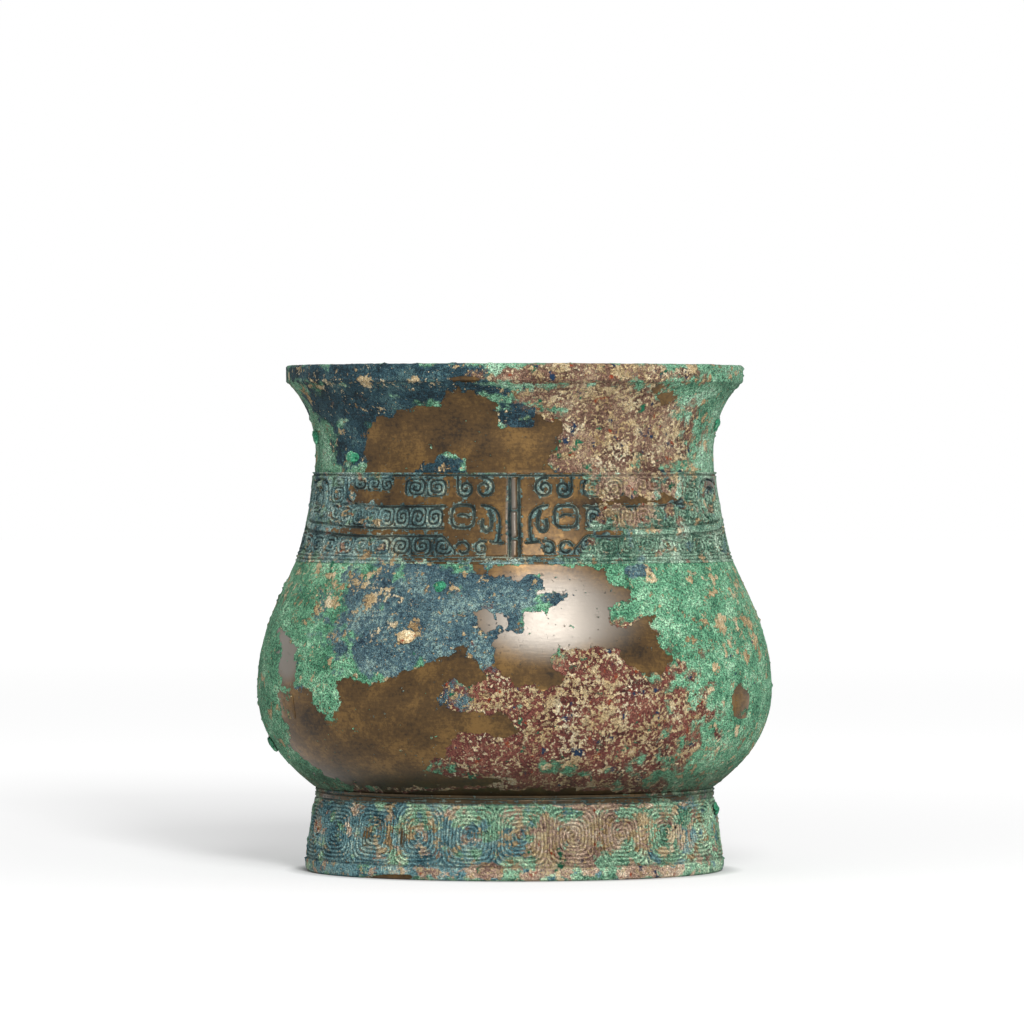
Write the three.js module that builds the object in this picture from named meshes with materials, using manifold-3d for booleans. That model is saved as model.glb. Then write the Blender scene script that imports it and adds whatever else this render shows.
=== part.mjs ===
// An oval drinking vessel of cast bronze, with a flared mouth, a band of
// confronted dragons below the neck, a swelling belly and a ring foot.
// Millimetres, +Z up, +X to the right of the front face, which looks along -Y.
// The origin is on the ground, under the middle of the foot.

import * as THREE from 'three';
import { mergeVertices } from 'three/addons/utils/BufferGeometryUtils.js';
import Module from 'manifold-3d';

const wasm = await Module();
wasm.setup();

// Heights of the stretches of the wall, from the ground to the rim
const footHeight = 24.6;
const lowerBellyHeight = 29.4;
const upperBellyHeight = 38;
const neckHeight = 32;
const flareHeight = 20.6;
const lipHeight = 5.4;

// Half the width at each station, and how much less half the depth is
const lipHalfWidth = 67.9;
const neckHalfWidth = 59.1;
const shoulderHalfWidth = 65;
const bellyHalfWidth = 76.5;
const waistHalfWidth = 58.8;
const footHalfWidth = 62.2;
const ovalStretch = 16;

// Thicknesses and small edges
const wall = 3;
const footWall = 3.2;
const floorThickness = 3.5;
const floorRise = 18;
const lipCorner = 0.9;
const footCorner = 1.4;

// The band of dragons, proud of the wall, and its carved lines
const bandHeight = 26.3;
const bandProudTop = 0.8;
const bandProudBottom = 0.2;
const grooveWidth = 0.8;
const grooveDepth = 0.4;
const borderWidth = 1.1;
const reliefHeight = 0.5;
const pupilHeight = 0.9;
const flangeWidth = 1.8;
const flangeHeight = 0.8;
const reliefRoot = 1;
const barStep = 5;
const discCorners = 8;

// The ring foot's plain rim, below its band of whorls
const footRimHeight = 3.6;

// Chaplets, and the running clearance of their pockets
const chapletSize = 8;
const chapletGap = 0.3;
const neckChapletDrop = 9.6;
const neckChapletSide = 2;
const bellyChapletDrop = 4;
const bellyChapletAngle = 61;
const floorChapletAcross = 24;
const floorChapletDeep = 17;
const wallReach = 16;

// Mineral lumps lie this far off the metal
const lumpGap = 0.3;

const sides = 48;
const degree = Math.PI / 180;
const quarter = Math.PI / 2;

const waistZ = footHeight;
const bellyZ = waistZ + lowerBellyHeight;
const shoulderZ = bellyZ + upperBellyHeight;
const neckZ = shoulderZ + neckHeight;
const lipZ = neckZ + flareHeight;
const rimZ = lipZ + lipHeight;
const bandTopZ = shoulderZ + bandHeight;
const neckChapletZ = lipZ - neckChapletDrop;
const bellyChapletZ = bellyZ - bellyChapletDrop;

const bronze = new THREE.Color(0x5a4a38);
const chapletBronze = new THREE.Color(0x6f6047);
const malachite = new THREE.Color(0x4c8068);
const earth = new THREE.Color(0xa58e68);

function finish(colour, roughness, metalness) {
  return new THREE.MeshStandardMaterial({ color: colour, roughness, metalness });
}

// A bend between two stations. Each pull is the share of the way out and of
// the way up at which the curve still follows its end.
function bend(from, to, leave, arrive) {
  const out = to.x - from.x;
  const up = to.y - from.y;
  return new THREE.CubicBezierCurve(
    from,
    new THREE.Vector2(from.x + leave.x * out, from.y + leave.y * up),
    new THREE.Vector2(from.x + arrive.x * out, from.y + arrive.y * up),
    to,
  );
}

const point = (halfWidth, z) => new THREE.Vector2(halfWidth, z);

const waist = point(waistHalfWidth, waistZ);
const belly = point(bellyHalfWidth, bellyZ);
const shoulder = point(shoulderHalfWidth, shoulderZ);
const neck = point(neckHalfWidth, neckZ);
const lip = point(lipHalfWidth - lipCorner, lipZ);

const lowerBelly = bend(waist, belly, point(0.63, 0.27), point(1, 0.6));
const upperBelly = bend(belly, shoulder, point(0, 0.42), point(0.53, 0.68));
const neckBend = bend(shoulder, neck, point(0.59, 0.3), point(1, 0.69));
const flare = bend(neck, lip, point(0, 0.44), point(0.44, 0.78));

// Points of a curve moved along its own normal, away from the metal's skin.
function offset(curve, share, distance) {
  const at = curve.getPoint(share);
  const along = curve.getTangent(share);
  return point(at.x - along.y * distance, at.y + along.x * distance);
}

function shares(count) {
  return Array.from({ length: count }, (_, i) => (i + 1) / (count + 1));
}

function shareAtHeight(curve, z) {
  let low = 0;
  let high = 1;
  for (let step = 0; step < 40; step += 1) {
    const middle = (low + high) / 2;
    if (curve.getPoint(middle).y < z) low = middle;
    else high = middle;
  }
  return (low + high) / 2;
}

// The band's field stands proud of the neck, more at its top than at its foot.
function bandPoint(z, sunk = 0) {
  const proud = THREE.MathUtils.lerp(bandProudBottom, bandProudTop, (z - shoulderZ) / bandHeight);
  return point(neckBend.getPoint(shareAtHeight(neckBend, z)).x + proud - sunk, z);
}

function footPoint(z, sunk = 0) {
  const share = (z - footRimHeight) / (waistZ - footRimHeight);
  return point(THREE.MathUtils.lerp(footHalfWidth, waistHalfWidth + grooveDepth, share) - sunk, z);
}

// A carved line round the wall, as four points of the outline.
function groove(place, z) {
  return [
    place(z),
    place(z, grooveDepth),
    place(z + grooveWidth, grooveDepth),
    place(z + grooveWidth),
  ];
}

const footSkin = [
  point(footHalfWidth - footCorner * 0.7, 0),
  point(footHalfWidth - footCorner * 0.2, footCorner * 0.5),
  point(footHalfWidth, footCorner),
  ...groove(footPoint, footRimHeight),
  ...groove(footPoint, waistZ - borderWidth - 2 * grooveWidth),
  footPoint(waistZ - grooveWidth),
];

const bandSkin = [
  ...groove(bandPoint, shoulderZ + borderWidth),
  ...shares(4).map((share) => bandPoint(shoulderZ + share * bandHeight)),
  ...groove(bandPoint, bandTopZ - borderWidth - grooveWidth),
  bandPoint(bandTopZ),
];

const neckSkin = [bandTopZ, (bandTopZ + neckZ) / 2]
  .map((z) => neckBend.getPoint(shareAtHeight(neckBend, z)));

const skin = [
  ...footSkin,
  waist,
  ...shares(6).map((share) => lowerBelly.getPoint(share)),
  belly,
  ...shares(6).map((share) => upperBelly.getPoint(share)),
  shoulder,
  ...bandSkin,
  ...neckSkin,
  neck,
  ...shares(4).map((share) => flare.getPoint(share)),
  lip,
  point(lipHalfWidth, lipZ + lipCorner),
  point(lipHalfWidth, rimZ - lipCorner),
  point(lipHalfWidth - lipCorner * 0.3, rimZ - lipCorner * 0.3),
  point(lipHalfWidth - lipCorner, rimZ),
];

// The inside runs down from the rim, one wall away from the skin
const inside = [
  point(lipHalfWidth - wall + lipCorner * 0.3, rimZ),
  point(lipHalfWidth - wall - lipCorner * 0.3, rimZ - lipCorner),
  point(lipHalfWidth - lipCorner - wall, lipZ),
  ...shares(3).reverse().map((share) => offset(flare, share, wall)),
  ...[1, 0.5].map((share) => offset(neckBend, share, wall)),
  ...[1, 0.75, 0.5, 0.25].map((share) => offset(upperBelly, share, wall)),
  ...[1, 0.75, 0.5, 0.25, 0].map((share) => offset(lowerBelly, share, wall)),
];

// The bowl's floor, and its underside inside the ring foot
const innermost = inside[inside.length - 1];
const floorTop = bend(
  innermost,
  point(ovalStretch, floorRise + floorThickness),
  point(0.2, 0.75),
  point(0.5, 1),
);
const footInside = point(waistHalfWidth - footWall, waistZ - wall);
const floorUnderside = bend(
  point(ovalStretch, floorRise),
  footInside,
  point(0.5, 0),
  point(0.85, 0.3),
);

const outline = [
  ...[0, 0.35, 0.7].map((share) => floorUnderside.getPoint(share)),
  footInside,
  point(footHalfWidth - footWall, 0),
  ...skin,
  ...inside,
  ...[0.35, 0.7, 1].map((share) => floorTop.getPoint(share)),
];

// Turn an outline about the upright axis, then widen the round to the oval.
function turned(points) {
  const radii = points.map(({ x, y }) => point(Math.max(x - ovalStretch, 0), y));
  const geometry = new THREE.LatheGeometry(radii, sides).rotateX(quarter);
  const places = geometry.attributes.position;
  for (let i = 0; i < places.count; i += 1) {
    const angle = 2 * Math.PI * Math.floor(i / points.length) / sides;
    places.setX(i, places.getX(i) + ovalStretch * Math.sin(angle));
  }
  return geometry;
}

function solid(geometry) {
  geometry.deleteAttribute('normal');
  geometry.deleteAttribute('uv');
  const merged = mergeVertices(geometry);
  const corners = merged.index.array;
  const kept = [];
  for (let i = 0; i < corners.length; i += 3) {
    const [a, b, c] = corners.slice(i, i + 3);
    if (a !== b && b !== c && c !== a) kept.push(a, b, c);
  }
  return new wasm.Manifold(new wasm.Mesh({
    numProp: 3,
    vertProperties: new Float32Array(merged.attributes.position.array),
    triVerts: new Uint32Array(kept),
  }));
}

function halfWidthAt(z) {
  const above = skin.findIndex((place) => place.y >= z);
  const high = skin[Math.max(above, 1)];
  const low = skin[Math.max(above, 1) - 1];
  return THREE.MathUtils.mapLinear(z, low.y, high.y, low.x, high.x);
}

// Where a way round the band, from the middle of a face, meets the oval
const bandHalfWidth = halfWidthAt(shoulderZ + bandHeight / 2);
function angleAlong(way) {
  const stepLength = 0.5;
  const steps = Math.ceil(Math.abs(way) / stepLength);
  let angle = 0;
  for (let i = 0; i < steps; i += 1) {
    const across = bandHalfWidth * Math.cos(angle);
    const deep = (bandHalfWidth - ovalStretch) * Math.sin(angle);
    angle += way / steps / Math.hypot(across, deep);
  }
  return angle;
}

// Lay a flat form, drawn as (way round, height, proud), on the oval wall.
function laidOnWall(geometry, face) {
  const places = geometry.attributes.position;
  for (let i = 0; i < places.count; i += 1) {
    const angle = angleAlong(places.getX(i)) + face;
    const z = places.getY(i);
    const halfWidth = halfWidthAt(z) + places.getZ(i) - reliefRoot;
    places.setXYZ(i, halfWidth * Math.sin(angle), (ovalStretch - halfWidth) * Math.cos(angle), z);
  }
  return geometry;
}

function raised(form, height, face) {
  const moved = form.translate(0, 0, (reliefRoot + height) / 2);
  return solid(laidOnWall(moved, face));
}

// A bar of even width along a smooth path
function bar(path, width, height) {
  const curve = new THREE.SplineCurve(path.map(([way, z]) => point(way, z)));
  const steps = Math.ceil(curve.getLength() / barStep);
  const form = new THREE.BoxGeometry(1, width, reliefRoot + height, steps);
  const places = form.attributes.position;
  for (let i = 0; i < places.count; i += 1) {
    const share = places.getX(i) + 0.5;
    const aside = places.getY(i);
    const at = curve.getPoint(share);
    const along = curve.getTangent(share);
    places.setXY(i, at.x - along.y * aside, at.y + along.x * aside);
  }
  return form;
}

function block([way, z], width, length, height) {
  const rows = Math.ceil(length / barStep);
  return new THREE.BoxGeometry(width, length, reliefRoot + height, 1, rows).translate(way, z, 0);
}

function disc([way, z], radius, height) {
  return new THREE.CylinderGeometry(radius, radius, reliefRoot + height, discCorners)
    .rotateX(quarter)
    .translate(way, z, 0);
}

// The way round a quarter of the oval, from the middle of a face to its side
const sideWay = shares(sides)
  .map((share) => quarter * share)
  .reduce((way, angle) => way + quarter / sides * Math.hypot(
    bandHalfWidth * Math.cos(angle),
    (bandHalfWidth - ovalStretch) * Math.sin(angle),
  ), 0);

// One dragon, drawn to the right of its flange as ways round the wall and heights
const bodyWidth = 2.6;
const bodyPath = [[20, bandTopZ - 7.4], [39, bandTopZ - 7.5], [sideWay - 26, bandTopZ - 8.1]];
const tailWidth = 2.1;
const tailPath = [
  [21, shoulderZ + 9.1],
  [45, shoulderZ + 9.2],
  [sideWay - 15, shoulderZ + 10],
  [sideWay - 8, shoulderZ + 11.6],
  [sideWay - 5.4, shoulderZ + 15.5],
  [sideWay - 6.4, bandTopZ - 5.9],
  [sideWay - 11, bandTopZ - 3.9],
  [sideWay - 16, bandTopZ - 5.4],
];
const jawWidth = 1.8;
const jawPath = [
  [9.4, shoulderZ + 16.6],
  [5.6, shoulderZ + 14.2],
  [4.9, shoulderZ + 9.5],
  [6.8, shoulderZ + 6.2],
];
const eyeMiddle = [15.2, shoulderZ + 13.6];
const eyeWidth = 8;
const eyeLength = 6.4;
const pupilWidth = 4.6;
const pupilLength = 3.6;
const hornMiddles = [[8.6, bandTopZ - 4.9], [14.9, bandTopZ - 5.1]];
const hornRadius = 2.6;
const flangeMiddle = [0, shoulderZ + bandHeight / 2];
const flangeLength = bandHeight - 2 * (borderWidth + grooveWidth);

const reliefs = [];
for (const face of [0, Math.PI]) {
  reliefs.push(raised(block(flangeMiddle, flangeWidth, flangeLength, flangeHeight), flangeHeight, face));
  for (const hand of [1, -1]) {
    const turnedTo = ([way, z]) => [way * hand, z];
    const eyePlace = turnedTo(eyeMiddle);
    const low = [
      bar(bodyPath.map(turnedTo), bodyWidth, reliefHeight),
      bar(tailPath.map(turnedTo), tailWidth, reliefHeight),
      bar(jawPath.map(turnedTo), jawWidth, reliefHeight),
      block(eyePlace, eyeWidth, eyeLength, reliefHeight),
      ...hornMiddles.map((middle) => disc(turnedTo(middle), hornRadius, reliefHeight)),
    ];
    low.forEach((form) => reliefs.push(raised(form, reliefHeight, face)));
    reliefs.push(raised(block(eyePlace, pupilWidth, pupilLength, pupilHeight), pupilHeight, face));
  }
}

let casting = solid(turned(outline));
reliefs.forEach((form) => { casting = casting.add(form); });

// A square prism through the wall or the floor, turned to face outwards
function prism(place, size) {
  const geometry = place.upright
    ? new THREE.BoxGeometry(size, size, wallReach)
    : new THREE.BoxGeometry(size, wallReach, size);
  geometry.rotateZ(place.turn).translate(place.x, place.y, place.z);
  return solid(geometry);
}

function onWall(angle, z) {
  const halfWidth = halfWidthAt(z) - wall / 2;
  const halfDepth = halfWidth - ovalStretch;
  return {
    x: halfWidth * Math.sin(angle),
    y: -halfDepth * Math.cos(angle),
    z,
    turn: Math.atan2(Math.sin(angle) / halfWidth, Math.cos(angle) / halfDepth),
    upright: false,
  };
}

const onFloor = (x, y) => ({ x, y, z: floorRise + floorThickness / 2, turn: 0, upright: true });

const bellyAngle = bellyChapletAngle * degree;
const neckSideAngle = Math.asin(neckChapletSide / neckHalfWidth);
const chaplets = {
  neck_chaplet_front: onWall(neckSideAngle, neckChapletZ),
  neck_chaplet_back: onWall(Math.PI + neckSideAngle, neckChapletZ),
  neck_chaplet_left: onWall(-quarter, neckChapletZ),
  neck_chaplet_right: onWall(quarter, neckChapletZ),
  belly_chaplet_front_right: onWall(bellyAngle, bellyChapletZ),
  belly_chaplet_front_left: onWall(-bellyAngle, bellyChapletZ),
  belly_chaplet_back_right: onWall(Math.PI - bellyAngle, bellyChapletZ),
  belly_chaplet_back_left: onWall(Math.PI + bellyAngle, bellyChapletZ),
  floor_chaplet_front: onFloor(0, -floorChapletDeep),
  floor_chaplet_back: onFloor(0, floorChapletDeep),
  floor_chaplet_left: onFloor(-floorChapletAcross, 0),
  floor_chaplet_right: onFloor(floorChapletAcross, 0),
};

const vessel = new THREE.Group();

function place(name, form, material) {
  const { vertProperties, triVerts } = form.getMesh();
  const geometry = new THREE.BufferGeometry();
  geometry.setAttribute('position', new THREE.BufferAttribute(vertProperties, 3));
  geometry.setIndex(new THREE.BufferAttribute(triVerts, 1));
  const mesh = new THREE.Mesh(geometry, material);
  mesh.name = name;
  vessel.add(mesh);
}

const uncut = casting;
for (const [name, spot] of Object.entries(chaplets)) {
  place(name, uncut.intersect(prism(spot, chapletSize)), finish(chapletBronze, 0.5, 0.8));
  casting = casting.subtract(prism(spot, chapletSize + 2 * chapletGap));
}
place('vessel_casting', casting, finish(bronze, 0.45, 0.8));

// The vessel's outer form, let out by the lumps' gap, which shapes their seats
const seat = solid(turned([
  point(ovalStretch, 0),
  ...skin.map(({ x, y }) => point(x + lumpGap, y)),
  point(ovalStretch, rimZ),
]));

// A lump of crust: its place on the wall, and its half sizes along, out and up
const lumps = {
  neck_malachite_lump: { angle: -53, z: neckZ - 1.2, along: 2.6, out: 1.3, up: 2, colour: malachite },
  neck_left_crust: { angle: -80, z: neckZ + 5, along: 3, out: 1, up: 2.4, colour: malachite },
  neck_right_crust: { angle: 82, z: neckZ + 8.5, along: 3, out: 1, up: 2.2, colour: malachite },
  belly_malachite_lump: {
    angle: -18.5, z: shoulderZ - 6.6, along: 2, out: 1.1, up: 1.7, colour: malachite,
  },
  belly_earth_lump: { angle: -25, z: bellyZ + 17, along: 3, out: 0.9, up: 2.2, colour: earth },
  belly_left_crust: { angle: -84, z: bellyZ - 16, along: 3.4, out: 1.2, up: 2.8, colour: malachite },
  foot_right_crust: { angle: 82, z: waistZ - 6, along: 2.8, out: 1, up: 2, colour: malachite },
};

const lumpTurns = 10;
const lumpRings = 7;
const lumpDepth = 1;
for (const [name, lump] of Object.entries(lumps)) {
  const spot = onWall(lump.angle * degree, lump.z);
  const outwards = new THREE.Vector2(Math.sin(spot.turn), -Math.cos(spot.turn));
  outwards.multiplyScalar(wall / 2 - lumpDepth / 2 + lumpGap);
  const geometry = new THREE.SphereGeometry(1, lumpTurns, lumpRings)
    .scale(lump.along, lump.out + lumpDepth, lump.up)
    .rotateZ(spot.turn)
    .translate(spot.x + outwards.x, spot.y + outwards.y, spot.z);
  place(name, solid(geometry).subtract(seat), finish(lump.colour, 0.9, 0));
}

export default vessel;
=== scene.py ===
import math

import bmesh
import bpy
import numpy as np
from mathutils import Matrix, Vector


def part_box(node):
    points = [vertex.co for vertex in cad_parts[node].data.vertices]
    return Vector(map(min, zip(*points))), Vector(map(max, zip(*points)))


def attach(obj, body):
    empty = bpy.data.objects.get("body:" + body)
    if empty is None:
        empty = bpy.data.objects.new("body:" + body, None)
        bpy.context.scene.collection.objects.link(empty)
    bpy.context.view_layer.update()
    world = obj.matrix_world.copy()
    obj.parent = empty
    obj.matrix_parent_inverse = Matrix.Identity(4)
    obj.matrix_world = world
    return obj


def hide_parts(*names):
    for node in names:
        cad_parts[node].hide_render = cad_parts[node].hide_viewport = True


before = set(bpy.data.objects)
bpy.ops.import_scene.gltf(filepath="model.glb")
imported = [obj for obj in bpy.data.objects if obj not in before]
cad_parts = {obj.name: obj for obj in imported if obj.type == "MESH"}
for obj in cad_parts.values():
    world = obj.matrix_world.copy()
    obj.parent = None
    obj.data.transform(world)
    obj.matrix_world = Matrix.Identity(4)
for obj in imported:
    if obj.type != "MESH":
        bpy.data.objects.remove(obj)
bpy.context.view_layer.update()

# The ring foot. It is cast in one pour with the vessel and splays out below it.
# Its band holds 22 whorls of thin raised thread, cut in the mould as nested
# rounded squares that press against their neighbours. All sizes are in mm.
MM = 0.001
casting_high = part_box("vessel_casting")[1]
belly_half_width = casting_high.x / MM
oval_stretch = belly_half_width - casting_high.y / MM
rim_z = casting_high.z / MM
foot_half_width = 62.2
waist_half_width = 58.8
foot_corner = 1.4
foot_rim_z = 3.6
foot_top_z = 24.6
wall = 3.0
foot_wall = 3.2
foot_proud = 0.4

foot_skin = np.array([
    (foot_half_width - 0.7 * foot_corner, 0),
    (foot_half_width - 0.2 * foot_corner, 0.4 * foot_corner),
    (foot_half_width, foot_corner),
    (foot_half_width, foot_rim_z),
    (waist_half_width + foot_proud, foot_top_z),
])
foot_inside = np.array([(waist_half_width - foot_wall, foot_top_z - wall), (foot_half_width - foot_wall, 0)])

whorl_count = 22
whorl_shift = 1.9
whorl_thread_pitch = 1.12
whorl_middle_z = 13.0
whorl_half_height = 8.4
whorl_depth = 0.45
whorl_border = 0.3
foot_lines = ((4.1, 0.7), (22.0, 0.6), (23.7, 0.4))
foot_line_depth = 0.42

# Where the burial crusts lie, in the photograph's pixels. A patch is an oval, as
# its middle x, middle y, half width and half height, or the corners of an outline
# where the shape matters. The back has its own.
photo_scale = 0.2976
camera_distance = 1655.0
horizon_pixel = 450.0
horizon_z = 125.0
axis_pixel = 514.4
outline_fade = 16
back_begins, back_complete = 2, 20
foot_patches = {
    "bare": [(392, 878, 22, 3), (366, 838, 5, 8), (401, 838, 4, 9), (500, 798, 180, 7)],
    "azurite": [(345, 838, 52, 46), (430, 846, 48, 26), (580, 838, 15, 11), (420, 872, 130, 9),
                (505, 850, 30, 16), (690, 838, 14, 12)],
    "cuprite": [(566, 846, 40, 30), (612, 832, 30, 20), (520, 872, 100, 7), (640, 872, 46, 7),
                (610, 806, 60, 5)],
    "earth": [(540, 850, 80, 26), (400, 838, 34, 30), (660, 832, 40, 26), (332, 846, 10, 34)],
}
foot_patches_back = {
    "bare": [(470, 878, 30, 3)],
    "azurite": [(640, 840, 80, 46), (430, 850, 50, 26)],
    "cuprite": [(520, 842, 80, 38)],
    "earth": [(500, 842, 120, 38)],
}


def smooth_step(value, low, high):
    share = np.clip((value - low) / (high - low), 0, 1)
    return share * share * (3 - 2 * share)


def even_steps(path, step):
    """The same path with its points an even step apart."""
    run = np.concatenate([[0], np.cumsum(np.hypot(*np.diff(path, axis=0).T))])
    places = np.linspace(0, run[-1], max(2, int(round(run[-1] / step)) + 1))
    return np.stack([np.interp(places, run, path[:, 0]), np.interp(places, run, path[:, 1])], 1)


def directions(path):
    """Which way a path runs at each of its points, one long."""
    along = np.gradient(path, axis=0)
    return along / np.hypot(along[:, 0], along[:, 1])[:, None]


def oval_angles(half_width, count):
    """Angles round the oval at even ways apart, the ways, and the way all round."""
    fine = np.linspace(0, 2 * np.pi, 7201)
    middle = (fine[1:] + fine[:-1]) / 2
    reach = np.hypot(half_width * np.cos(middle), (half_width - oval_stretch) * np.sin(middle))
    way = np.concatenate([[0], np.cumsum(reach * np.diff(fine))])
    ways = np.linspace(0, way[-1], count, endpoint=False)
    return np.interp(ways, way, fine), ways, way[-1]


def lattice_noise(points, size, seed):
    """Smooth noise from 0 to 1 at points in mm, with cells of one size."""
    spots = points / size + seed * 17.31
    cell = np.floor(spots).astype(np.int64)
    part = spots - cell
    part = part * part * (3 - 2 * part)
    total = np.zeros(points.shape[:-1])
    for corner in range(8):
        side = np.array([(corner >> axis) & 1 for axis in range(3)])
        key = (cell + side) @ np.array([73856093, 19349663, 83492791])
        key = (key ^ (key >> 13)) * 1274126177
        value = ((key ^ (key >> 16)) & 65535) / 65535
        total += value * np.prod(np.where(side, part, 1 - part), axis=-1)
    return total


def is_inside(x, y, corners):
    """Which points lie inside a closed outline."""
    inside = np.zeros(x.shape, bool)
    for (x0, y0), (x1, y1) in zip(corners, [*corners[1:], corners[0]]):
        if y0 != y1:
            crosses = (y0 > y) != (y1 > y)
            inside ^= crosses & (x < (x1 - x0) * (y - y0) / (y1 - y0) + x0)
    return inside


def away_from(x, y, start, end):
    """How far points lie from the straight line between two places."""
    across, up = end[0] - start[0], end[1] - start[1]
    x, y = x - start[0], y - start[1]
    share = np.clip((x * across + y * up) / max(across**2 + up**2, 1e-9), 0, 1)
    return np.hypot(x - share * across, y - share * up)


def outline_depth(x, y, corners):
    """How deep in a closed outline each pixel lies, in pixels; under 0 outside."""
    nearest = np.full(x.shape, 1e6)
    for start, end in zip(corners, [*corners[1:], corners[0]]):
        nearest = np.minimum(nearest, away_from(x, y, start, end))
    return np.where(is_inside(x, y, corners), nearest, -nearest)


def patch_field(points, front, back):
    """How far inside its patches each point lies: over a half is inside."""
    nearer = camera_distance / (camera_distance - np.abs(points[..., 1]))
    seen_y = horizon_pixel - (points[..., 2] - horizon_z) * nearer / photo_scale
    fields = []
    for side, patches in ((1, front), (-1, back)):
        seen_x = axis_pixel + side * points[..., 0] * nearer / photo_scale
        field = np.zeros(seen_x.shape)
        for patch in patches:
            if isinstance(patch[0], tuple):
                inner = 0.5 + outline_depth(seen_x, seen_y, patch) / outline_fade
            else:
                middle_x, middle_y, half_x, half_y = patch
                inner = 1.5 - np.hypot((seen_x - middle_x) / half_x, (seen_y - middle_y) / half_y)
            field = np.maximum(field, np.clip(inner, 0, 1))
        fields.append(field)
    behind = smooth_step(points[..., 1], back_begins, back_complete)
    return fields[0] * (1 - behind) + fields[1] * behind


# The crust's relief: the heights and sizes of its lumps and grains, how far it is
# set back into the wall, and its warts' least size and height with their spread
crust_lumps = ((0.15, 5.0), (0.12, 2.0), (0.12, 0.9))
crust_set_back = 0.12
wart_size, wart_size_spread = 0.45, 0.9
wart_height, wart_height_spread = 0.12, 0.4
wart_free = 0.2


def crust_heights(points, bare, seed):
    """How far the crust stands off the metal; it stops at the bare islands."""
    covered = 1 - smooth_step(bare, 0.04, 0.3)
    lumps = sum(height * lattice_noise(points, size, seed + number)
                for number, (height, size) in enumerate(crust_lumps))
    return covered * lumps - crust_set_back


def add_warts(heights, points, bare, count, seed):
    """Raise grains of crust at seeded places; most are small and low."""
    generator = np.random.default_rng(seed)
    rows, columns = heights.shape
    step = np.linalg.norm(points[rows // 2, 1] - points[rows // 2, 0])
    for _ in range(count):
        row, column = generator.integers(0, rows), generator.integers(0, columns)
        size = wart_size + wart_size_spread * generator.random()**3
        height = wart_height + wart_height_spread * generator.random()**2
        if bare[row, column] > wart_free:
            continue
        reach = int(size * 1.3 / step) + 1
        near = np.ix_(np.arange(max(0, row - reach), min(rows, row + reach + 1)),
                      np.arange(column - reach, column + reach + 1) % columns)
        away = np.linalg.norm(points[near] - points[row, column], axis=-1) / size
        heights[near] += height * np.clip(1 - away**2, 0, 1)**1.5


def on_oval(half_widths, heights, angles):
    """Points at half widths and heights, all round the oval."""
    spread = np.atleast_2d(half_widths.T).T
    z = np.broadcast_to(np.atleast_2d(heights.T).T, np.broadcast(spread, angles[None]).shape)
    return np.stack([spread * np.sin(angles), (oval_stretch - spread) * np.cos(angles), z], -1)


def strip_map(mesh, columns, lengths, strips):
    """A map that cuts the way round into strips and lays them one over another."""
    map_margin = 0.01
    per_strip = columns // strips
    column = np.arange(columns)
    strip = column // per_strip
    left = (column - strip * per_strip) / per_strip
    heights = np.concatenate([[0], np.cumsum(lengths)]) / np.sum(lengths)
    corners_u = np.stack([left, left + 1 / per_strip, left + 1 / per_strip, left], -1)
    corners_v = np.stack([heights[:-1], heights[:-1], heights[1:], heights[1:]], -1)
    u = np.broadcast_to(corners_u[None], (len(lengths), columns, 4))
    v = (strip[None, :, None] + map_margin + (1 - 2 * map_margin) * corners_v[:, None, :]) / strips
    u = map_margin / 2 + (1 - map_margin) * u
    layer = mesh.uv_layers.new(name="OFBake")
    layer.data.foreach_set("uv", np.stack([u, v], -1).astype(np.float32).ravel())


def quad_object(name, points, quads, sharp_degrees, fields):
    """A smooth object of quads, from points in mm, with its fields' values at them."""
    mesh = bpy.data.meshes.new(name)
    mesh.vertices.add(len(points))
    mesh.vertices.foreach_set("co", (points * MM).astype(np.float32).ravel())
    mesh.loops.add(quads.size)
    mesh.loops.foreach_set("vertex_index", quads.astype(np.int32).ravel())
    mesh.polygons.add(len(quads))
    mesh.polygons.foreach_set("loop_start", np.arange(0, quads.size, 4, dtype=np.int32))
    mesh.update(calc_edges=True)
    mesh.polygons.foreach_set("use_smooth", np.ones(len(quads), bool))
    mesh.set_sharp_from_angle(angle=math.radians(sharp_degrees))
    for label, field in fields.items():
        attribute = mesh.attributes.new(label, "FLOAT", "POINT")
        attribute.data.foreach_set("value", np.broadcast_to(field, len(points)).astype(np.float32))
    piece = bpy.data.objects.new(name, mesh)
    bpy.context.collection.objects.link(piece)
    return piece


# How the casting is meshed: the step of its hidden parts and their share of the
# map, how far its carving strays, the depth and height at which a groove and a
# thread count as full, how its unseen parts are mingled, and how rough they are
hidden_step = 1.5
hidden_map_share = 0.35
carving_stray = 0.3
groove_full = 0.5
thread_full = 0.2
near_shifts = [(0, 0), (4, 0), (-4, 0), (0, 4), (0, -4), (3, 3), (3, -3), (-3, 3), (-3, -3)]
unseen_shares = {"bare": 0, "rubbed_highlight": 0, "azurite": 0.6, "cuprite": 0.6, "earth": 0.7}
unseen_patch_size = 26.0
unseen_roughness = ((0.25, 2.5), (0.5, 9.0))
middling_half_width = 60


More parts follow.
